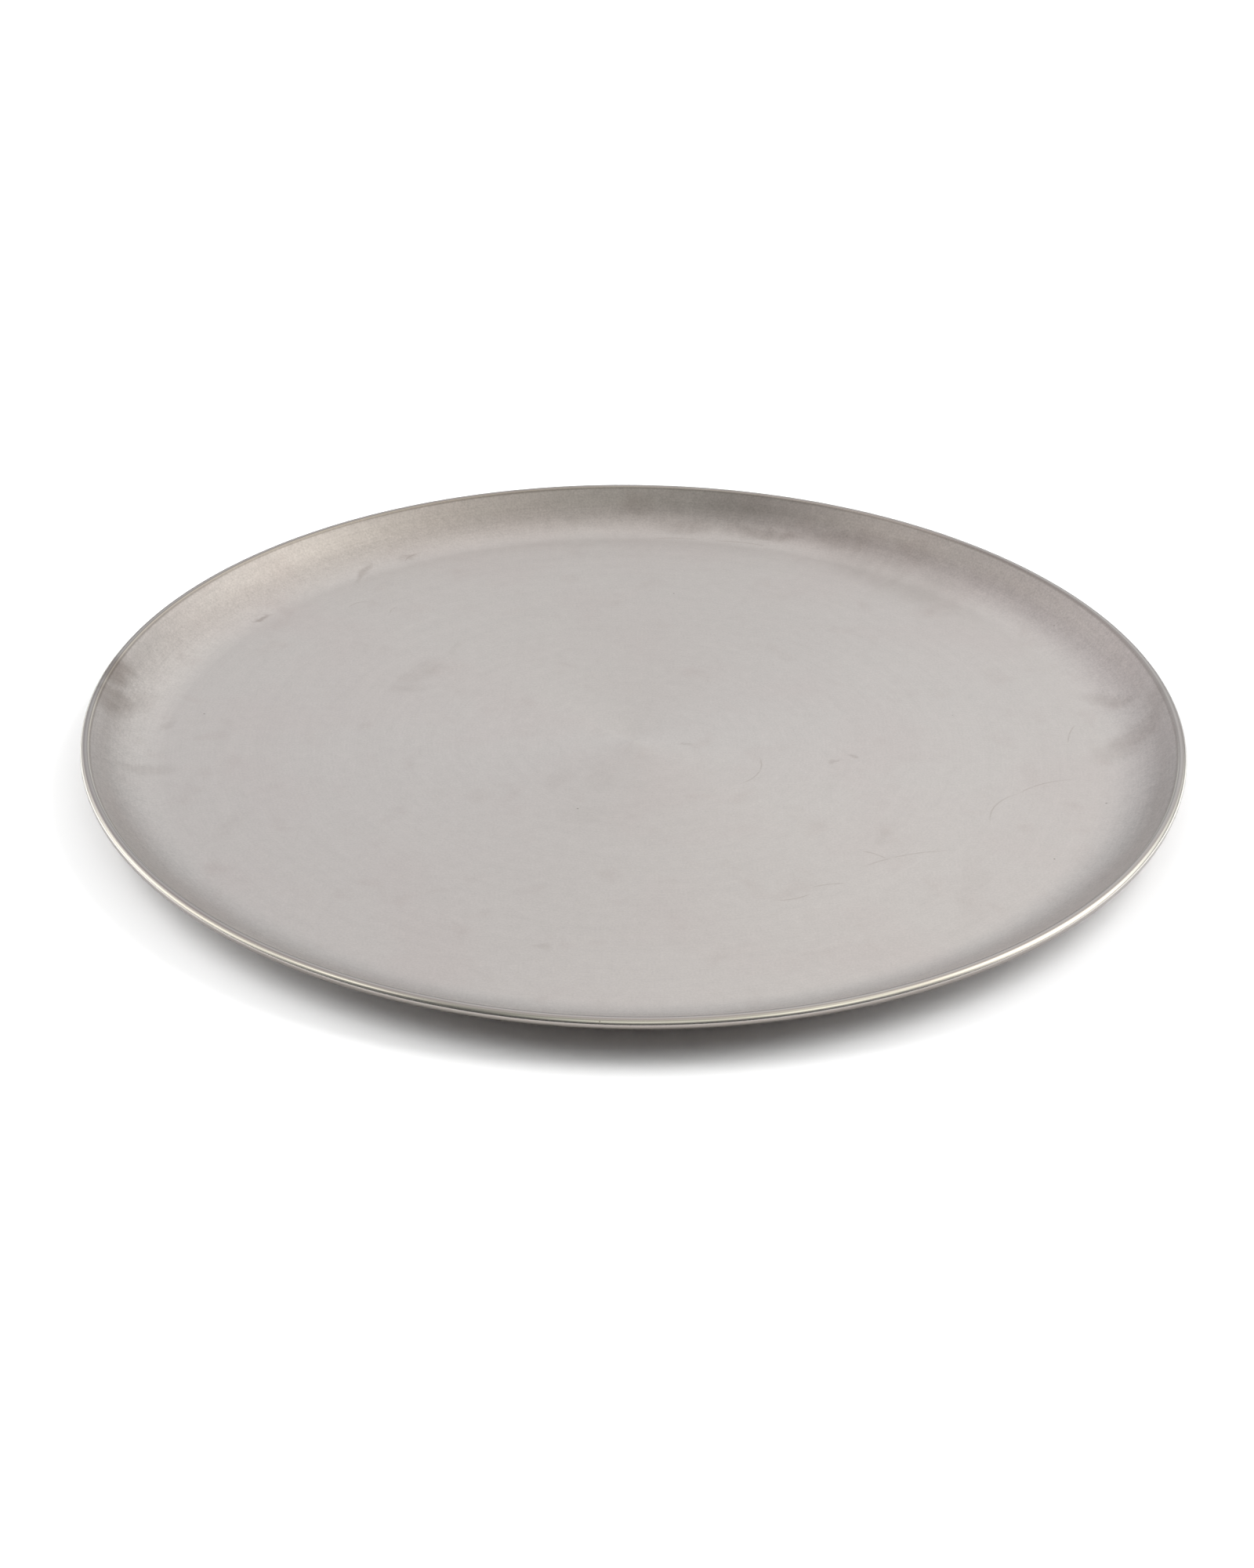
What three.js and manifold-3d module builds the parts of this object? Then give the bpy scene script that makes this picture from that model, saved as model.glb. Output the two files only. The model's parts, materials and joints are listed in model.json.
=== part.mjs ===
// Round serving tray, spun from one disc of stainless steel sheet.
// A flat floor turns up through a cove into a flared wall. The edge of the sheet is rolled outwards
// and down round a ring of wire, which stiffens the rim and gives it a round bead.
// Millimetres, +Z up. The origin is the middle of the underside, where the tray rests.

import * as THREE from 'three';
import { mergeVertices } from 'three/addons/utils/BufferGeometryUtils.js';
import Module from 'manifold-3d';

// Sizes of the spun sheet
const TRAY_DIAMETER = 350; // over the rolled rim
const TRAY_HEIGHT = 12; // from the underside to the top of the rolled rim
const SHEET_THICKNESS = 0.7;
const COVE_RADIUS = 28; // on the serving side, where the floor turns up into the wall
const WALL_SLOPE_DEG = 42; // of the flared wall, from level

// Sizes of the wired rim
const WIRE_DIAMETER = 2;
const WIRE_CLEARANCE = 0.1; // between the wire and the sheet rolled round it
const ROLL_GAP = 0.35; // between the cut edge of the sheet and the underside of the wall
const WIRE_END_GAP = 1; // between the two ends of the bent wire

// Facets
const TURN_STEPS = 96; // round the tray, the same for both pieces so that their facets line up
const COVE_STEPS = 6;
const ROLL_STEPS = 12;
const WIRE_SIDES = 12;

// The roll, as two circles about the wire: the faces of the sheet inside it and outside it
const wallSlope = THREE.MathUtils.degToRad(WALL_SLOPE_DEG);
const wireRadius = WIRE_DIAMETER / 2;
const rollInside = wireRadius + WIRE_CLEARANCE;
const rollOutside = rollInside + SHEET_THICKNESS;
const rollCentre = new THREE.Vector2(TRAY_DIAMETER / 2 - rollOutside, TRAY_HEIGHT - rollOutside);

const wasm = await Module();
wasm.setup();

// A point at a radius and an angle about a centre, in the half section of radius and height
function polarPoint(centre, radius, angle) {
  return new THREE.Vector2(Math.cos(angle), Math.sin(angle)).multiplyScalar(radius).add(centre);
}

// Points along an arc, with both of its ends
function arcPoints(centre, radius, from, to, steps) {
  return Array.from({ length: steps + 1 }, (_, step) =>
    polarPoint(centre, radius, THREE.MathUtils.lerp(from, to, step / steps)));
}

// A half section turned all the way round the tray's axis
function turned(section) {
  return new THREE.LatheGeometry(section, TURN_STEPS).rotateX(Math.PI / 2);
}

// A closed surface as a solid that can be cut
function solidFrom(geometry) {
  geometry.deleteAttribute('normal');
  geometry.deleteAttribute('uv');
  const merged = mergeVertices(geometry);
  return new wasm.Manifold(new wasm.Mesh({
    numProp: 3,
    vertProperties: merged.attributes.position.array,
    triVerts: Uint32Array.from(merged.index.array),
  }));
}

// The surface of a cut solid
function surfaceOf(solid) {
  const mesh = solid.getMesh();
  const geometry = new THREE.BufferGeometry();
  geometry.setAttribute('position', new THREE.BufferAttribute(mesh.vertProperties, mesh.numProp));
  geometry.setIndex(new THREE.BufferAttribute(mesh.triVerts, 1));
  geometry.computeVertexNormals();
  return geometry;
}

// Half section of the sheet: out along the underside, round the inside of the roll to the cut edge,
// back round the outside of the roll, and in along the serving side
function sheetSection() {
  // The wall runs into the roll where the roll's face is square to the slope, and the roll goes on
  // until the outer corner of the cut edge stands the gap away from the underside of the wall.
  const rollStart = Math.PI / 2 + wallSlope;
  const rollEnd = rollStart - 2 * Math.PI + Math.acos((rollInside - ROLL_GAP) / rollOutside);
  const wallTop = polarPoint(rollCentre, rollOutside, rollStart);

  // The cove touches the floor and the wall, both on the serving side.
  const coveHeight = SHEET_THICKNESS + COVE_RADIUS;
  const coveOffset = ((coveHeight - wallTop.y) * Math.cos(wallSlope) - COVE_RADIUS) / Math.sin(wallSlope);
  const coveCentre = new THREE.Vector2(wallTop.x + coveOffset, coveHeight);
  const coveStart = -Math.PI / 2;
  const coveEnd = coveStart + wallSlope;

  return [
    new THREE.Vector2(0, 0),
    ...arcPoints(coveCentre, coveHeight, coveStart, coveEnd, COVE_STEPS),
    ...arcPoints(rollCentre, rollInside, rollStart, rollEnd, ROLL_STEPS),
    ...arcPoints(rollCentre, rollOutside, rollEnd, rollStart, ROLL_STEPS),
    ...arcPoints(coveCentre, COVE_RADIUS, coveEnd, coveStart, COVE_STEPS),
    new THREE.Vector2(0, SHEET_THICKNESS),
  ];
}

// Floor, cove, wall and rolled edge, all of one sheet
function traySheet() {
  const satinSteel = new THREE.MeshStandardMaterial({ color: '#bdb8b4', roughness: 0.45, metalness: 1 });
  const sheet = new THREE.Mesh(turned(sheetSection()), satinSteel);
  sheet.name = 'tray_sheet';
  return sheet;
}

// The wire in the roll: a ring, cut through where the ends of the bent wire meet at the back
function rimWire() {
  const ring = turned(arcPoints(rollCentre, wireRadius, 0, 2 * Math.PI, WIRE_SIDES));
  const cutSize = 2 * WIRE_DIAMETER;
  const endCut = new THREE.BoxGeometry(WIRE_END_GAP, cutSize, cutSize);
  endCut.translate(0, rollCentre.x, rollCentre.y);
  const drawnSteel = new THREE.MeshStandardMaterial({ color: '#a8a6a2', roughness: 0.35, metalness: 1 });
  const wire = new THREE.Mesh(surfaceOf(solidFrom(ring).subtract(solidFrom(endCut))), drawnSteel);
  wire.name = 'rim_wire';
  return wire;
}

const tray = new THREE.Group();
tray.add(traySheet(), rimWire());

export default tray;
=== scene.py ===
import json
import math

import bmesh
import bpy
from mathutils import Matrix, Vector


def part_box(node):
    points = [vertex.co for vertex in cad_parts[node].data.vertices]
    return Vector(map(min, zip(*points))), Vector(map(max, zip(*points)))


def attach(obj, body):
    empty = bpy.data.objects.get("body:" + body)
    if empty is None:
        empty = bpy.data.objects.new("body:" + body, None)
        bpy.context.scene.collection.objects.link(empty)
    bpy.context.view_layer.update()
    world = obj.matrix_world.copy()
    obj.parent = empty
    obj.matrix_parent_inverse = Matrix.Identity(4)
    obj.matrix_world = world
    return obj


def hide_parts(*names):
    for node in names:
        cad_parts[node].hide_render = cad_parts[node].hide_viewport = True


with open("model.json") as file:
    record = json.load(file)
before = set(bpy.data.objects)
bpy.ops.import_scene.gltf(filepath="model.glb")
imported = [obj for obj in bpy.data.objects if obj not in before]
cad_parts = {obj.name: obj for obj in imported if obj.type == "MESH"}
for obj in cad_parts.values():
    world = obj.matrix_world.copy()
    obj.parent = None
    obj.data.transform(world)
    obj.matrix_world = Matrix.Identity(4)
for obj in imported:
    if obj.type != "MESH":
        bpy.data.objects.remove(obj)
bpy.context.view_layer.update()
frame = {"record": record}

bl_info = {
    "name": "Round serving tray",
    "version": (1, 0, 0),
    "blender": (4, 5, 0),
    "location": "3D View > Sidebar > Tray",
    "description": "Spins a round steel serving tray with a wired rim and sets it on a stage",
    "category": "Object",
}

MM = 0.001
WHITE = (1, 1, 1, 1)

# The frame gives the wire in the rim and the level of the serving floor.
WIRE_LOW, WIRE_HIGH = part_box("rim_wire")
WIRE_DIAMETER = WIRE_HIGH.z - WIRE_LOW.z
RIM_RADIUS = WIRE_HIGH.x - WIRE_DIAMETER / 2
RIM_HEIGHT = (WIRE_HIGH.z + WIRE_LOW.z) / 2
MOUNTS = {mount["name"]: mount for mount in frame["record"]["mounts"]}
SHEET_THICKNESS = MOUNTS["serving_floor"]["pos_m"][2]

# Steps of the smooth meshes
TURN_STEPS = 384
COVE_STEPS = 18
ROLL_STEPS = 42
WIRE_SIDES = 24
MERGE_DISTANCE = 1e-6
SHARP_ANGLE = math.radians(50)

# Zones of the sheet, from where each begins to where it is complete, by radius in metres
WALL = (0.150, 0.166)
BEAD = (0.1718, 0.1724)
GROOVE_INNER = (0.1714, 0.1719)
GROOVE_OUTER = (0.1731, 0.1725)

# The same by how far the surface faces up, where 1 is level and 0 is upright
SERVING_SIDE = (-0.05, 0.2)
UNDERSIDE = (0.2, -0.05)
OUTER_SIDE = (0.45, 0.1)
# The next two bound the rim's painted highlight
HIGHLIGHT_INNER = (0.96, 0.86)
HIGHLIGHT_OUTER = (0.3, 0.5)

# Stretches of the rim: the side in degrees round from the right towards the back, and how squarely a
# place has to lie on that side, from where the stretch begins to where it is complete
# The rim's painted highlight is fainter on this stretch at the right
FAINT_HIGHLIGHT_SIDE = 20
FAINT_HIGHLIGHT_STRETCH = (0.80, 0.95)
FAINT_HIGHLIGHT_SHARE = 0.2  # of the painted highlight on the rest of the rim
DARK_GROOVE_SIDE = 142
DARK_GROOVE_STRETCH = (0.5, 0.85)
FAINT_GROOVE = 0.6  # of the dark stretch, on the rest of the rim
# On the front stretch the outer side of the bead gets more painted shade
FRONT_SHADE_SIDE = 270
FRONT_SHADE_STRETCH = (0.6, 0.9)

# The floor is painted lighter towards one side as painted light, from and to metres from the middle.
LIT_SIDE = -30
LIT_STRETCH = (-0.10, 0.15)

# Patterns drawn out by the brushing or the drawing: width in metres, marks to a radian, detail
BRUSHED_PATTERNS = {
    "brushing": (0.0006, 5, 3.0),
    "rings": (0.0035, 2.5, 2.0),
    "streaks": (0.02, 45, 2.0),
}
DIE_LINES = (0.00025, 4, 3.0)

# Patterns that are the same in every direction: scale, detail, distortion
EVEN_PATTERNS = {
    "grit": (1400, 2.0, 0.0),
    "flecks": (300, 3.0, 0.0),
    "smears": (70, 4.0, 0.4),
    "clouds": (20, 3.0, 0.4),
    "warp": (14, 1.0, 0.0),
}
DULL_PATCHES = (120, 3.0, 0.0)

# How the steel and the wire are made up: a level, and what each pattern or zone adds to it. The
# relief is in metres.
COARSENESS = (1.0, {"wall": 1.1, "bead": -1.9})
GRAIN = (-0.22, {"brushing": 0.10, "grit": 0.24, "flecks": 0.10})
# The tone adds a painted highlight on top of the rim and paints the steel lighter towards one side
TONE = (0.985, {
    "grain": 1.0, "rings": 0.05, "clouds": 0.05, "lit_side": 0.05, "bead": -0.32, "painted_highlight": 0.90})
ROUGHNESS = (-0.05, {"brushing": 0.06, "grit": 0.04, "smeared": 0.04, "stains": 0.08})
RELIEF = (0.0, {
    "brushing": 3e-6, "rings": 5e-6, "coarse_grit": 6e-6, "warp": 1.2e-4, "scratches": -4e-6})
WIRE_TONE = (0.78, {"lines": 0.25, "dull": 0.2})
WIRE_ROUGHNESS = (0.24, {"lines": 0.1, "dull": 0.12})
WIRE_RELIEF = (0.0, {"lines": 4e-6})

# Shades that the steel is multiplied by, in this order: the tint of the painted highlight, painted
# shade on the rim and underside, the darker line where the wall meets the bead, and marks of use
SHADES = {
    "painted_highlight": (0.97, 1.0, 0.955),
    "outer_shade": (0.82, 0.81, 0.80),
    "front_shade": (0.80, 0.775, 0.75),
    "underside_shade": (0.68, 0.67, 0.66),
    "groove": (0.66, 0.64, 0.62),
    "hazy": (0.98, 0.966, 0.968),
    "smeared": (0.975, 0.962, 0.962),
    "stains": (0.68, 0.65, 0.635),
    "scratches": (0.85, 0.83, 0.815),
    "specks": (0.55, 0.53, 0.52),
}

# A quarter turn lays the stretched reflections across the brushing.
STRETCH_TURN = 0.25

# Levels of the patterns, from where a mark of use begins to where it is complete
HAZE = (0.42, 0.7)
SMEAR = (0.55, 0.8)
STREAKED_STAIN = (0.2, 0.6)
FAINT_STAIN = 0.55  # of a stain, between its streaks
BROKEN_SCRATCH = (0.2, 0.55)
SPECK = (0.021, 0.012)
SPECK_SCALE = 55

# Marks of use on the serving side, in millimetres across and back from the middle of the tray: place,
# half length and half width, degrees that the length is turned from across, and depth
SMUDGES = (
    (-171, 24, 9, 5, 80, 1.0),
    (-168, 9, 8, 6, 85, 0.9),
    (-161, 16, 9, 4, 60, 0.25),
    (-151, 6, 3, 2, 45, 0.25),
    (-153, -25, 9, 4, 20, 0.25),
    (160, 0, 14, 6, 39, 0.4),
    (156, 27, 9, 3, -35, 0.35),
    (170, 12, 10, 3, 86, 0.3),
    (161, -45, 10, 5, 70, 0.12),
    (1, 167, 6.5, 4.5, 0, 0.35),
    (13, 167.5, 4, 4, 0, 0.15),
    (38, 163.5, 14, 5, -13, 0.3),
    (9, 160, 3, 5, 0, 0.15),
    (36, 158.5, 4, 6, -12, 0.25),
    (18, 158, 10, 3, -5, 0.35),
    (48, 152, 14, 3, -16, 0.5),
    (76, 143, 14, 4, -28, 0.4),
    (100, 131, 10, 4, -38, 0.3),
    (-22, 160, 3, 2, 0, 0.15),
    (-97, 119, 6, 1.5, 68, 0.45),
    (-129.5, 82.5, 4, 1, 50, 0.7),
    (-81, 131, 4, 1.2, 48, 0.4),
    (-60, 63, 5, 2, 70, 0.15),
    (92, 121, 34, 12, -47, 0.3),
    (-72, 44, 10, 4, 60, 0.2),
    (-76, 33, 6, 3, 20, 0.2),
    (-23, -26, 7, 4, 60, 0.1),
    (-11, -25, 9, 4, 80, 0.1),
    (-14, -48, 9, 6, 20, 0.08),
    (-123, -57, 9, 3, 70, 0.12),
    (63.5, -13, 1.6, 0.8, 20, 0.4),
    (69.5, -9.5, 2.2, 0.8, 150, 0.4),
    (17.5, -3, 1.6, 0.8, 0, 0.35),
    (76, -59, 5, 2, 60, 0.14),
    (100, -91, 24, 5, 80, 0.08),
    (-25, -122, 3, 2, 0, 0.25),
)
SMUDGE_EDGE = (1.5, 0.3)  # from the middle, as parts of the half sizes

# Noise that pulls the outlines of the smudges about
RAGGED_SCALE = 110
RAGGED_DETAIL = 3.0
RAGGED_PULL = 9 * MM

# Scratches in the same millimetres: the two ends, and how far the middle bows out, as a part of the
# half length
SCRATCHES = (
    (40, -9, 33, -28, 0.35),
    (110, -50, 121, -31, 0.3),
    (120, -32, 140, -22, 0.2),
    (68, -77, 97, -66, 0.15),
    (43, -95.5, 53, -91.5, -0.15),
    (53, -88, 64, -85.5, 0.1),
    (69, -67, 77, -72, 0.2),
    (140, 1, 144, 14, 0.1),
    (-132, 82, -126, 85, 0.4),
    (-83, 128, -79, 134, 0.3),
    (-100, 92, -93, 97, 0.35),
    (-85, 88, -83, 93, 0.3),
    (6, 151, 24, 150, 0.1),
    (28, 149.5, 48, 145, 0.1),
)
SCRATCH_HALF_WIDTH = 0.00045
SCRATCH_FADE = (1.0, 0.3)  # square of the way from the middle to an end

# Soft lights that the steel reflects: degrees round from the right towards the back, degrees up from
# level, sharpness, colour. The sharper ones draw the bright line along the rim.
SOFT_LIGHTS = (
    (90, 31, 4.5, (0.69, 0.72, 0.74)),
    (90, 60, 8, (0.40, 0.385, 0.36)),
    (61, 22, 10, (0.28, 0.265, 0.255)),
    (45, 50, 8, (0.18, 0.16, 0.14)),
    (135, 50, 8, (0.10, 0.06, 0.08)),
    (134, 13, 11, (0.24, 0.22, 0.22)),
    (175, 22, 10, (0.14, 0.14, 0.12)),
    (0, 62, 8, (0.33, 0.305, 0.28)),
    (180, 62, 8, (0.13, 0.13, 0.12)),
    (270, 75, 10, (0.06, 0.06, 0.06)),
    (270, 34, 10, (0.12, 0.12, 0.12)),
    (320, 12, 6, (0.13, 0.13, 0.135)),
    (212, 12, 8, (0.14, 0.14, 0.14)),
    (24, 24, 22, (0.80, 0.80, 0.79)),
    (2, 42, 22, (1.10, 1.06, 0.98)),
    (358, 16, 18, (0.92, 0.90, 0.84)),
    (314, 47, 35, (0.90, 0.88, 0.79)),
    (270, 50, 25, (0.60, 0.60, 0.53)),
    (200, 48, 45, (1.00, 0.96, 0.88)),
    (182, 25, 25, (0.85, 0.82, 0.77)),
    (158, 14, 25, (1.05, 1.02, 0.98)),
)

# Lamps that light the floor: name, degrees round, degrees up, degrees across, strength
FLOOR_LAMPS = (
    ("right", 31, 18, 60, 5.95),
    ("left", 151, 18, 60, 4.9),
    ("overhead", 90, 68, 120, 1.65),
)
FLOOR_FILL = 0.01

# The studio floor, just under the tray. The steel mirrors it as white in front and greyer behind, a
# painted shade that only its reflections show.
FLOOR_RADIUS = 6.0
FLOOR_SIDES = 64
FLOOR_DROP = 0.0002
MIRRORED_STRETCH = (-0.04, 0.06)  # metres back from the middle
MIRRORED_FRONT = 1.0
MIRRORED_BACK = 0.58

# The camera, and how far it is turned from looking at the middle of the rim
FRAME_HEIGHT = 2000  # pixels
FOCAL_LENGTH = 3757.6  # pixels
SENSOR_HEIGHT = 36  # millimetres
CLIP_START = 0.01
CAMERA_YAW = math.radians(0.132)
CAMERA_DIP = math.radians(1.362)
CAMERA_ROLL = math.radians(0.63)


class TraySizes(bpy.types.PropertyGroup):
    """Sizes of the spun sheet and of the wire in its rim"""

    sheet_thickness: bpy.props.FloatProperty(
        name="Sheet thickness", description="Thickness of the steel sheet",
        default=SHEET_THICKNESS, subtype="DISTANCE", unit="LENGTH", precision=5)
    cove_radius: bpy.props.FloatProperty(
        name="Cove radius", description="Radius on the serving side, where the floor turns up",
        default=0.028, subtype="DISTANCE", unit="LENGTH", precision=4)
    wall_slope: bpy.props.FloatProperty(
        name="Wall slope", description="Slope of the flared wall, from level",
        default=math.radians(42), subtype="ANGLE", unit="ROTATION")
    rim_radius: bpy.props.FloatProperty(
        name="Rim radius", description="From the tray's axis to the middle of the rim wire",
        default=RIM_RADIUS, subtype="DISTANCE", unit="LENGTH", precision=4)
    rim_height: bpy.props.FloatProperty(
        name="Rim height", description="From the underside to the middle of the rim wire",
        default=RIM_HEIGHT, subtype="DISTANCE", unit="LENGTH", precision=4)
    wire_diameter: bpy.props.FloatProperty(
        name="Wire diameter", description="Diameter of the wire in the rim",
        default=WIRE_DIAMETER, subtype="DISTANCE", unit="LENGTH", precision=5)
    wire_clearance: bpy.props.FloatProperty(
        name="Wire clearance", description="Between the wire and the sheet rolled round it",
        default=0.0001, subtype="DISTANCE", unit="LENGTH", precision=5)
    wire_end_gap: bpy.props.FloatProperty(
        name="Wire end gap", description="Between the two ends of the bent wire",
        default=0.001, subtype="DISTANCE", unit="LENGTH", precision=5)
    roll_gap: bpy.props.FloatProperty(
        name="Roll gap", description="Between the cut edge of the sheet and the underside of the wall",
        default=0.00035, subtype="DISTANCE", unit="LENGTH", precision=5)


class TrayFinish(bpy.types.PropertyGroup):
    """Colours and polish of the steel"""

    steel_colour: bpy.props.FloatVectorProperty(
        name="Steel", description="Satin steel of the floor and the wall",
        default=(0.566, 0.536, 0.516), size=3, min=0, max=1, subtype="COLOR")
    wire_colour: bpy.props.FloatVectorProperty(
        name="Wire", description="Drawn wire inside the rim",
        default=(0.39, 0.38, 0.36), size=3, min=0, max=1, subtype="COLOR")
    satin_roughness: bpy.props.FloatProperty(
        name="Satin roughness", description="Roughness of the brushed floor",
        default=0.36, min=0, max=1, subtype="FACTOR")
    rim_roughness: bpy.props.FloatProperty(
        name="Rim roughness", description="Roughness of the burnished rim",
        default=0.16, min=0, max=1, subtype="FACTOR")
    brush_stretch: bpy.props.FloatProperty(
        name="Brush stretch", description="How far the brushing draws reflections out across its marks",
        default=0.5, min=0, max=1, subtype="FACTOR")


class TrayStage(bpy.types.PropertyGroup):
    """Floor and camera"""

    floor_colour: bpy.props.FloatVectorProperty(
        name="Floor", description="Colour of the studio floor",
        default=(0.70, 0.70, 0.70), size=3, min=0, max=1, subtype="COLOR")
    camera_distance: bpy.props.FloatProperty(
        name="Camera distance", description="From the camera to the middle of the rim",
        default=0.9434, subtype="DISTANCE", unit="LENGTH")
    camera_elevation: bpy.props.FloatProperty(
        name="Camera elevation", description="Height of the camera above the rim, as an angle",
        default=math.radians(28.73), subtype="ANGLE", unit="ROTATION")


# Modelling and aiming helpers


def compass(azimuth, elevation):
    """A direction, by degrees round from the right towards the back and degrees up from level"""
    around = math.radians(azimuth)
    up = math.radians(elevation)
    return Vector((math.cos(up) * math.cos(around), math.cos(up) * math.sin(around), math.sin(up)))


def run_to(bm, end, radius, height):
    """Extrudes the end of a half section in a straight line"""
    new_end = bmesh.ops.extrude_vert_indiv(bm, verts=[end])["verts"][0]
    bmesh.ops.translate(bm, verts=[new_end], vec=Vector((radius, 0, height)) - new_end.co)
    return new_end


def swing(bm, end, centre, angle, steps):
    """Spins the end of a half section about a centre in its plane, clockwise for a positive angle"""
    spun = bmesh.ops.spin(bm, geom=[end], cent=(centre[0], 0, centre[1]), axis=(0, 1, 0),
                          angle=angle, steps=steps)
    return next(item for item in spun["geom_last"] if isinstance(item, bmesh.types.BMVert))


def turn(bm, geometry, angle, steps, whole):
    """Spins a half section about the tray's axis, joined up if it goes the whole way round"""
    bmesh.ops.spin(bm, geom=geometry, cent=(0, 0, 0), axis=(0, 0, 1), angle=angle, steps=steps,
                   use_merge=whole)
    bmesh.ops.remove_doubles(bm, verts=bm.verts[:], dist=MERGE_DISTANCE)
    bmesh.ops.recalc_face_normals(bm, faces=bm.faces[:])


def object_from(bm, name, material):
    """Puts a finished mesh with its material into the scene"""
    mesh = bpy.data.meshes.new(name)
    bm.to_mesh(mesh)
    bm.free()
    mesh.materials.append(material)
    made = bpy.data.objects.new(name, mesh)
    bpy.context.scene.collection.objects.link(made)
    return made


def piece_from(bm, name, material, node_name):
    """Makes a finished piece that stands for a node of the frame"""
    piece = object_from(bm, name, material)
    piece.data.shade_smooth()
    piece.data.set_sharp_from_angle(angle=SHARP_ANGLE)
    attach(piece, "root")
    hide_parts(node_name)
    return piece


# Materials


class Graph:
    """A node tree, with calls that add a node and give what it puts out"""

    def __init__(self, tree):
        self.tree = tree
        tree.nodes.clear()

    def node(self, kind, inputs=(), **settings):
        """Adds a node, sets it, and feeds its inputs with sockets or plain values"""
        node = self.tree.nodes.new(kind)
        for key, value in settings.items():
            setattr(node, key, value)
        for key, value in dict(inputs).items():
            if isinstance(value, bpy.types.NodeSocket):
                self.tree.links.new(value, node.inputs[key])
            else:
                node.inputs[key].default_value = value
        return node

    def math(self, operation, *values):
        """Arithmetic on numbers"""
        return self.node("ShaderNodeMath", enumerate(values), operation=operation).outputs[0]

    def product(self, first, *others):
        """Numbers multiplied together"""
        for value in others:
            first = self.math("MULTIPLY", first, value)
        return first

    def weighted_sum(self, level, weights, parts):
        """A level, with named parts added to it by their weights"""
        for name, weight in weights.items():
            level = self.math("MULTIPLY_ADD", parts[name], weight, level)
        return level

    def vector(self, operation, *values):
        """Arithmetic on vectors, with a number for a length or a dot product"""
        node = self.node("ShaderNodeVectorMath", enumerate(values), operation=operation)
        return node.outputs["Value" if operation in ("LENGTH", "DOT_PRODUCT") else "Vector"]

    def scale(self, vector, factor):
        """A vector or a colour made longer or shorter"""
        inputs = {0: vector, "Scale": factor}
        return self.node("ShaderNodeVectorMath", inputs, operation="SCALE").outputs[0]

    def axes(self, vector):
        """The three parts of a vector"""
        return self.node("ShaderNodeSeparateXYZ", {0: vector}).outputs

    def smooth(self, value, start, end, low=0.0, high=1.0):
        """A soft step from one level to another"""
        return self.node("ShaderNodeMapRange", {
            "Value": value, "From Min": start, "From Max": end, "To Min": low, "To Max": high},
            interpolation_type="SMOOTHSTEP").outputs["Result"]

    def noise(self, vector, scale, detail, distortion):
        """Clouds of one size, the same in every direction"""
        return self.node("ShaderNodeTexNoise", {
            "Vector": vector, "Scale": scale, "Detail": detail, "Distortion": distortion}).outputs[0]

    def mix(self, factor, first, second, blend="MIX"):
        """A colour that goes from the first to the second as the factor grows"""
        return self.node("ShaderNodeMix", {"Factor": factor, "A": first, "B": second},
                         data_type="RGBA", blend_type=blend).outputs["Result"]

    def bump(self, height):
        """The surface's direction, with heights in metres"""
        inputs = {"Height": height, "Strength": 1.0, "Distance": 1.0}
        return self.node("ShaderNodeBump", inputs).outputs["Normal"]

    def metal(self, inputs):
        """A metal shader, as the end of a material"""
        shader = self.node("ShaderNodeBsdfPrincipled", {"Metallic": 1.0, **inputs})
        self.node("ShaderNodeOutputMaterial", {"Surface": shader.outputs["BSDF"]})


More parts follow.
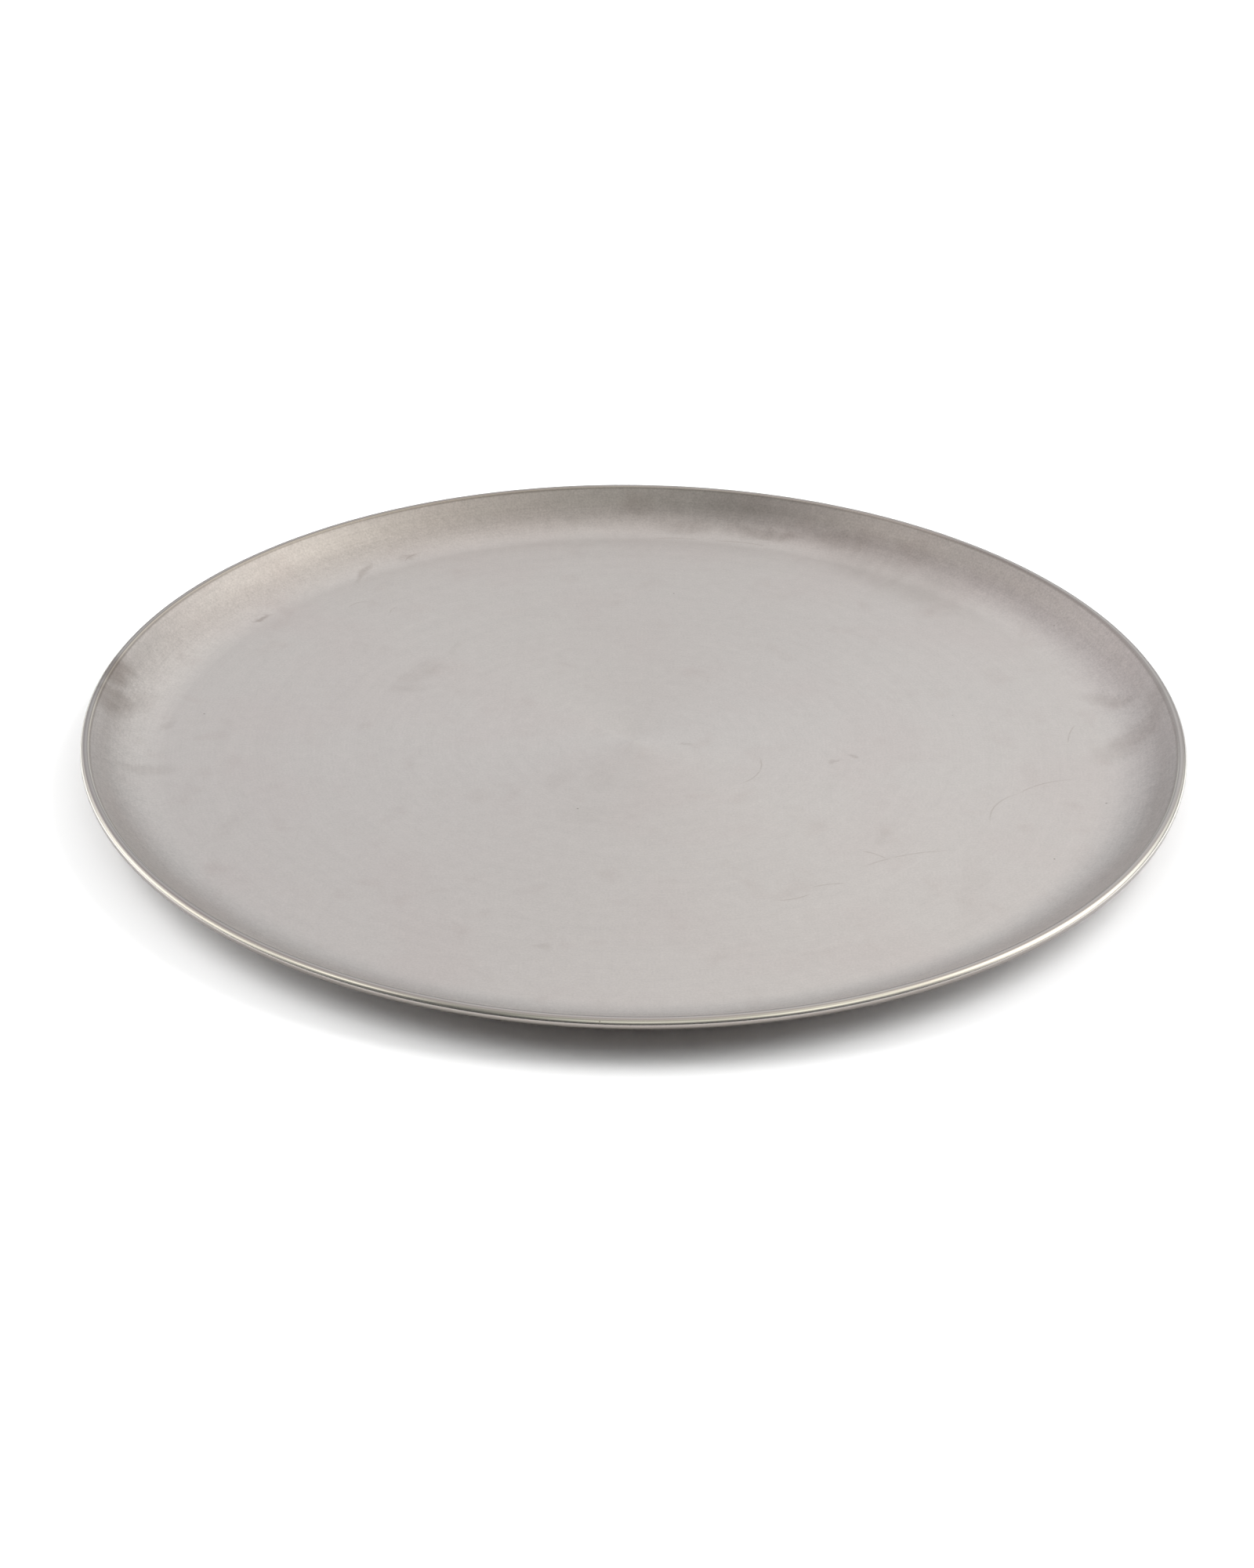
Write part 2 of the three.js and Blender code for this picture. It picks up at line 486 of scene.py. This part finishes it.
class TurnedSurface:
    """Places on a piece that is turned about the tray's axis"""

    def __init__(self, graph):
        self.graph = graph
        place = graph.node("ShaderNodeTexCoord")
        self.point = place.outputs["Object"]
        flat = graph.vector("MULTIPLY", self.point, (1, 1, 0))
        self.radius = graph.vector("LENGTH", flat)
        self.height = graph.axes(self.point)["Z"]
        self.outward = graph.vector("NORMALIZE", flat)
        self.across, self.back, _ = graph.axes(self.outward)
        self.upward = graph.axes(place.outputs["Normal"])["Z"]

    def facing(self, azimuth):
        """How squarely each place lies on a side of the tray, in degrees round from the right"""
        return self.graph.vector("DOT_PRODUCT", self.outward, compass(azimuth, 0))

    def marks(self, width, count, detail):
        """Noise drawn out round the axis: width of a mark along the section, marks to a radian"""
        graph = self.graph
        vector = graph.node("ShaderNodeCombineXYZ", {
            "X": graph.math("DIVIDE", self.radius, width),
            "Y": graph.math("DIVIDE", self.height, width),
            "Z": graph.math("MULTIPLY", self.across, count)}).outputs[0]
        return graph.node("ShaderNodeTexNoise", {
            "Vector": vector, "W": graph.math("MULTIPLY", self.back, count), "Scale": 1.0,
            "Detail": detail}, noise_dimensions="4D").outputs[0]

    def framed(self, point, middle, half_length, half_width, angle):
        """Coordinates that run from -1 to 1 over a mark"""
        return self.graph.node("ShaderNodeMapping", {
            "Vector": point, "Location": (*middle, 0), "Rotation": (0, 0, angle),
            "Scale": (half_length, half_width, 1)}, vector_type="TEXTURE").outputs[0]

    def smudges(self):
        """How deep each point lies in a smudge, with ragged outlines"""
        graph = self.graph
        ragged = graph.node("ShaderNodeTexNoise", {
            "Vector": self.point, "Scale": RAGGED_SCALE, "Detail": RAGGED_DETAIL}).outputs["Color"]
        pull = graph.scale(graph.vector("SUBTRACT", ragged, (0.5, 0.5, 0.5)), RAGGED_PULL)
        point = graph.vector("ADD", self.point, pull)
        total = 0.0
        for x, y, length, width, turned, depth in SMUDGES:
            inside = self.framed(point, (x * MM, y * MM), length * MM, width * MM, math.radians(turned))
            reach = graph.vector("LENGTH", inside)
            total = graph.math("MAXIMUM", graph.smooth(reach, *SMUDGE_EDGE, 0.0, depth), total)
        return total

    def scratches(self):
        """Thin bowed lines that fade at both ends"""
        graph = self.graph
        total = 0.0
        for x_start, y_start, x_end, y_end, bow in SCRATCHES:
            half = Vector((x_end - x_start, y_end - y_start)) * MM / 2
            middle = Vector((x_start, y_start)) * MM + half
            angle = math.atan2(half.y, half.x)
            inside = self.framed(self.point, middle, half.length, half.length, angle)
            along, aside, _ = graph.axes(inside)
            square = graph.math("MULTIPLY", along, along)
            off_line = graph.math("SUBTRACT", graph.math("MULTIPLY_ADD", square, bow, aside), bow)
            off_line = graph.math("ABSOLUTE", off_line)
            line = graph.smooth(off_line, SCRATCH_HALF_WIDTH / half.length, 0.0)
            line = graph.product(line, graph.smooth(square, *SCRATCH_FADE))
            total = graph.math("MAXIMUM", line, total)
        return total


def new_material(name):
    """An empty material, with its graph"""
    material = bpy.data.materials.new(name)
    material.use_nodes = True
    return material, Graph(material.node_tree)


def steel_patterns(graph, surface):
    """The noise that the look of the steel is made from"""
    patterns = {name: surface.marks(*shape) for name, shape in BRUSHED_PATTERNS.items()}
    for name, shape in EVEN_PATTERNS.items():
        patterns[name] = graph.noise(surface.point, *shape)
    return patterns


def sheet_zones(graph, surface):
    """Zones of the sheet, with the painted highlight and painted shade on its rim and underside, each
    from 0 to 1
    """
    radius = surface.radius
    upward = surface.upward
    serving = graph.smooth(upward, *SERVING_SIDE)
    bead = graph.smooth(radius, *BEAD)
    # Painted shade on the outer, lower side of the bead
    outer_shade = graph.product(graph.smooth(upward, *OUTER_SIDE), bead)

    # The top of the bead is painted brighter as a painted highlight, fainter on a stretch at the right.
    faint_highlight = graph.smooth(surface.facing(FAINT_HIGHLIGHT_SIDE), *FAINT_HIGHLIGHT_STRETCH)
    painted_highlight = graph.product(graph.smooth(upward, *HIGHLIGHT_INNER), graph.smooth(upward, *HIGHLIGHT_OUTER), bead,
                         graph.smooth(faint_highlight, 0.0, 1.0, 1.0, FAINT_HIGHLIGHT_SHARE))

    # The steel is darker where the wall meets the bead, most of all at the back left.
    deep = graph.smooth(surface.facing(DARK_GROOVE_SIDE), *DARK_GROOVE_STRETCH, FAINT_GROOVE, 1.0)
    groove = graph.product(graph.smooth(radius, *GROOVE_INNER), graph.smooth(radius, *GROOVE_OUTER),
                           serving, deep)

    # Painted light: the steel grows lighter towards one side
    towards_lit_side = graph.vector("DOT_PRODUCT", surface.point, compass(LIT_SIDE, 0))
    return {
        "serving": serving,
        "lit_side": graph.smooth(towards_lit_side, *LIT_STRETCH),
        "wall": graph.smooth(radius, *WALL),
        "bead": bead,
        "outer_shade": outer_shade,
        "painted_highlight": painted_highlight,
        "groove": groove,
        # Painted shade: the underside, apart from the bead, is darker, which deepens the tray's shadow
        # on the floor
        "underside_shade": graph.product(graph.smooth(upward, *UNDERSIDE), graph.smooth(bead, 1.0, 0.0)),
        # More painted shade on the outer side of the bead at the front
        "front_shade": graph.product(outer_shade, graph.smooth(surface.facing(FRONT_SHADE_SIDE), *FRONT_SHADE_STRETCH)),
    }


def marks_of_use(graph, surface, parts):
    """Marks on the serving side, each from 0 to 1"""
    serving = parts["serving"]
    streaked = graph.smooth(parts["streaks"], *STREAKED_STAIN, FAINT_STAIN, 1.0)
    broken = graph.smooth(parts["flecks"], *BROKEN_SCRATCH)
    dots = graph.node("ShaderNodeTexVoronoi", {"Vector": surface.point, "Scale": SPECK_SCALE})
    return {
        "hazy": graph.product(graph.smooth(parts["clouds"], *HAZE), serving),
        "smeared": graph.product(graph.smooth(parts["smears"], *SMEAR), serving),
        "stains": graph.product(surface.smudges(), streaked, serving),
        "scratches": graph.product(surface.scratches(), broken, serving),
        "specks": graph.product(graph.smooth(dots.outputs["Distance"], *SPECK), serving),
    }


def steel_material(finish):
    """Satin steel, brushed in circles about the tray's axis, with the marks of use and painted light
    and shade
    """
    material, graph = new_material("satin_steel")
    surface = TurnedSurface(graph)
    parts = steel_patterns(graph, surface)
    parts.update(sheet_zones(graph, surface))
    parts.update(marks_of_use(graph, surface, parts))

    # The wall keeps more of the brushing and grit than the floor, and the bead hardly any.
    coarse = graph.weighted_sum(*COARSENESS, parts)
    parts["grain"] = graph.product(graph.weighted_sum(*GRAIN, parts), coarse)
    parts["coarse_grit"] = graph.product(parts["grit"], coarse)
    colour = graph.scale(tuple(finish.steel_colour), graph.weighted_sum(*TONE, parts))
    for name, shade in SHADES.items():
        colour = graph.mix(parts[name], colour, (*shade, 1), "MULTIPLY")

    satin = finish.satin_roughness
    polish = graph.weighted_sum(satin, {"bead": finish.rim_roughness - satin}, parts)
    tangent = graph.node("ShaderNodeTangent", direction_type="RADIAL", axis="Z")
    graph.metal({
        "Base Color": colour,
        "Roughness": graph.math("ADD", polish, graph.weighted_sum(*ROUGHNESS, parts)),
        "Anisotropic": finish.brush_stretch,
        "Anisotropic Rotation": STRETCH_TURN,
        "Normal": graph.bump(graph.weighted_sum(*RELIEF, parts)),
        "Tangent": tangent.outputs["Tangent"],
    })
    return material


def wire_material(finish):
    """Drawn wire, with die lines along it and dull patches"""
    material, graph = new_material("drawn_wire")
    surface = TurnedSurface(graph)
    parts = {
        "lines": surface.marks(*DIE_LINES),
        "dull": graph.noise(surface.point, *DULL_PATCHES),
    }
    graph.metal({
        "Base Color": graph.scale(tuple(finish.wire_colour), graph.weighted_sum(*WIRE_TONE, parts)),
        "Roughness": graph.weighted_sum(*WIRE_ROUGHNESS, parts),
        "Normal": graph.bump(graph.weighted_sum(*WIRE_RELIEF, parts)),
    })
    return material


def floor_material(stage):
    """A pale floor that takes the tray's shadow, white to the camera"""
    material, graph = new_material("studio_floor")
    rays = graph.node("ShaderNodeLightPath").outputs
    place = graph.node("ShaderNodeTexCoord").outputs["Object"]
    # Painted shade behind the tray, seen only in the steel's reflections of the floor
    mirrored = graph.smooth(graph.axes(place)["Y"], *MIRRORED_STRETCH, MIRRORED_FRONT, MIRRORED_BACK)
    colour = graph.mix(rays["Is Glossy Ray"], (*stage.floor_colour, 1), mirrored)
    colour = graph.mix(rays["Is Camera Ray"], colour, WHITE)
    shader = graph.node("ShaderNodeBsdfDiffuse", {"Color": colour})
    graph.node("ShaderNodeOutputMaterial", {"Surface": shader.outputs["BSDF"]})
    return material


# Stage helpers


def lay_floor(stage):
    """A plain round floor just under the tray"""
    bm = bmesh.new()
    bmesh.ops.create_circle(bm, cap_ends=True, segments=FLOOR_SIDES, radius=FLOOR_RADIUS,
                            matrix=Matrix.Translation((0, 0, -FLOOR_DROP)))
    floor = object_from(bm, "studio_floor", floor_material(stage))


def fill_world():
    """Soft lights all round, as the steel sees them, behind a plain white for the camera"""
    world = bpy.data.worlds.new("studio")
    bpy.context.scene.world = world
    world.use_nodes = True
    graph = Graph(world.node_tree)
    towards = graph.node("ShaderNodeTexCoord").outputs["Generated"]
    light = (0, 0, 0)
    for azimuth, elevation, sharpness, colour in SOFT_LIGHTS:
        facing = graph.vector("DOT_PRODUCT", towards, compass(azimuth, elevation))
        glow = graph.math("EXPONENT", graph.math("MULTIPLY_ADD", facing, sharpness, -sharpness))
        light = graph.vector("ADD", graph.scale(colour, glow), light)
    steel_sees = graph.node("ShaderNodeBackground", {"Color": light})
    floor_sees = graph.node("ShaderNodeBackground", {"Color": WHITE, "Strength": FLOOR_FILL})
    camera_sees = graph.node("ShaderNodeBackground", {"Color": WHITE})
    rays = graph.node("ShaderNodeLightPath").outputs
    lit = graph.node("ShaderNodeMixShader", {
        "Fac": rays["Is Diffuse Ray"], 1: steel_sees.outputs[0], 2: floor_sees.outputs[0]})
    seen = graph.node("ShaderNodeMixShader", {
        "Fac": rays["Is Camera Ray"], 1: lit.outputs[0], 2: camera_sees.outputs[0]})
    graph.node("ShaderNodeOutputWorld", {"Surface": seen.outputs[0]})


def hang_lamps():
    """Wide lamps that light the floor and cast the tray's shadow, unseen by the steel"""
    for name, azimuth, elevation, spread, strength in FLOOR_LAMPS:
        sun = bpy.data.lights.new(name, "SUN")
        sun.energy = strength
        sun.angle = math.radians(spread)
        lamp = bpy.data.objects.new(name, sun)
        lamp.rotation_euler = compass(azimuth, elevation).to_track_quat("Z", "Y").to_euler()
        lamp.visible_glossy = False
        bpy.context.scene.collection.objects.link(lamp)


def place_camera(stage):
    """The photograph's viewing angle"""
    camera = bpy.data.cameras.new("camera")
    camera.sensor_fit = "VERTICAL"
    camera.sensor_height = SENSOR_HEIGHT
    camera.lens = SENSOR_HEIGHT * FOCAL_LENGTH / FRAME_HEIGHT
    camera.clip_start = CLIP_START
    body = bpy.data.objects.new("camera", camera)
    distance = stage.camera_distance
    elevation = stage.camera_elevation
    place = Matrix.Translation((0, -distance * math.cos(elevation),
                                RIM_HEIGHT + distance * math.sin(elevation)))
    yaw = Matrix.Rotation(CAMERA_YAW, 4, "Z")
    tilt = Matrix.Rotation(math.pi / 2 - elevation - CAMERA_DIP, 4, "X")
    roll = Matrix.Rotation(CAMERA_ROLL, 4, "Z")
    body.matrix_world = place @ yaw @ tilt @ roll
    bpy.context.scene.collection.objects.link(body)
    bpy.context.scene.camera = body


# Operators


class TRAY_OT_spin_sheet(bpy.types.Operator):
    """Spins the floor, cove, wall and rolled edge out of one sheet"""

    bl_idname = "tray.spin_sheet"
    bl_label = "Spin the sheet"

    def execute(self, context):
        sizes = context.scene.tray_sizes
        slope = sizes.wall_slope

        # The wall runs into the roll where the roll's face is square to the slope, and the roll goes on
        # until its cut edge stands the gap away from the underside of the wall.
        inside = sizes.wire_diameter / 2 + sizes.wire_clearance
        outside = inside + sizes.sheet_thickness
        roll_centre = Vector((sizes.rim_radius, sizes.rim_height))
        sweep = 2 * math.pi - math.acos((inside - sizes.roll_gap) / outside)
        square_to_wall = Vector((-math.sin(slope), math.cos(slope)))
        wall_top = roll_centre + outside * square_to_wall

        # The cove touches the floor and the wall.
        cove_height = sizes.sheet_thickness + sizes.cove_radius
        rise = (cove_height - wall_top.y) * math.cos(slope) - sizes.cove_radius
        cove_centre = Vector((wall_top.x + rise / math.sin(slope), cove_height))

        # Out along the serving side, round the outside of the roll, and back along the other face
        bm = bmesh.new()
        end = bm.verts.new((0, 0, sizes.sheet_thickness))
        end = run_to(bm, end, cove_centre.x, sizes.sheet_thickness)
        end = swing(bm, end, cove_centre, -slope, COVE_STEPS)
        end = run_to(bm, end, wall_top.x, wall_top.y)
        end = swing(bm, end, roll_centre, sweep, ROLL_STEPS)
        lip = roll_centre + (Vector((end.co.x, end.co.z)) - roll_centre) * (inside / outside)
        end = run_to(bm, end, lip.x, lip.y)
        end = swing(bm, end, roll_centre, -sweep, ROLL_STEPS)
        cove_end = cove_centre - cove_height * square_to_wall
        end = run_to(bm, end, cove_end.x, cove_end.y)
        end = swing(bm, end, cove_centre, slope, COVE_STEPS)
        run_to(bm, end, 0, 0)
        turn(bm, bm.verts[:] + bm.edges[:], 2 * math.pi, TURN_STEPS, True)
        piece_from(bm, "spun_sheet", steel_material(context.scene.tray_finish),
                   "tray_sheet")
        return {"FINISHED"}


class TRAY_OT_bend_wire(bpy.types.Operator):
    """Bends the wire that the rim is rolled round"""

    bl_idname = "tray.bend_wire"
    bl_label = "Bend the rim wire"

    def execute(self, context):
        sizes = context.scene.tray_sizes
        half_gap = sizes.wire_end_gap / 2 / sizes.rim_radius
        bm = bmesh.new()
        upright = Matrix.Rotation(math.pi / 2, 4, "X")
        place = Matrix.Translation((sizes.rim_radius, 0, sizes.rim_height))
        start = Matrix.Rotation(math.pi / 2 + half_gap, 4, "Z")
        bmesh.ops.create_circle(bm, cap_ends=True, segments=WIRE_SIDES, radius=sizes.wire_diameter / 2,
                                matrix=start @ place @ upright)
        turn(bm, bm.verts[:] + bm.edges[:] + bm.faces[:], 2 * (math.pi - half_gap), TURN_STEPS, False)
        piece_from(bm, "rim_wire_ring", wire_material(context.scene.tray_finish),
                   "rim_wire")
        return {"FINISHED"}


class TRAY_OT_set_stage(bpy.types.Operator):
    """Lays the floor, hangs the lights and places the camera"""

    bl_idname = "tray.set_stage"
    bl_label = "Set the stage"

    def execute(self, context):
        stage = context.scene.tray_stage
        lay_floor(stage)
        fill_world()
        hang_lamps()
        place_camera(stage)
        context.scene.view_settings.view_transform = "Standard"
        return {"FINISHED"}


class TRAY_PT_panel(bpy.types.Panel):
    """Lists the tray's operators and settings"""

    bl_idname = "TRAY_PT_panel"
    bl_label = "Serving tray"
    bl_space_type = "VIEW_3D"
    bl_region_type = "UI"
    bl_category = "Tray"

    def draw(self, context):
        for operator in OPERATORS:
            self.layout.operator(operator.bl_idname)
        for group in (context.scene.tray_sizes, context.scene.tray_finish, context.scene.tray_stage):
            for name in group.bl_rna.properties.keys():
                if name not in ("rna_type", "name"):
                    self.layout.prop(group, name)


GROUPS = {"tray_sizes": TraySizes, "tray_finish": TrayFinish, "tray_stage": TrayStage}
OPERATORS = (TRAY_OT_spin_sheet, TRAY_OT_bend_wire, TRAY_OT_set_stage)


def register():
    for group in GROUPS.values():
        bpy.utils.register_class(group)
    for name, group in GROUPS.items():
        setattr(bpy.types.Scene, name, bpy.props.PointerProperty(type=group))
    for operator in OPERATORS:
        bpy.utils.register_class(operator)
    bpy.utils.register_class(TRAY_PT_panel)


def unregister():
    bpy.utils.unregister_class(TRAY_PT_panel)
    for operator in reversed(OPERATORS):
        bpy.utils.unregister_class(operator)
    for name in GROUPS:
        delattr(bpy.types.Scene, name)
    for group in reversed(GROUPS.values()):
        bpy.utils.unregister_class(group)


def main():
    register()
    bpy.ops.tray.spin_sheet()
    bpy.ops.tray.bend_wire()
    bpy.ops.tray.set_stage()


if __name__ == "__main__":
    main()
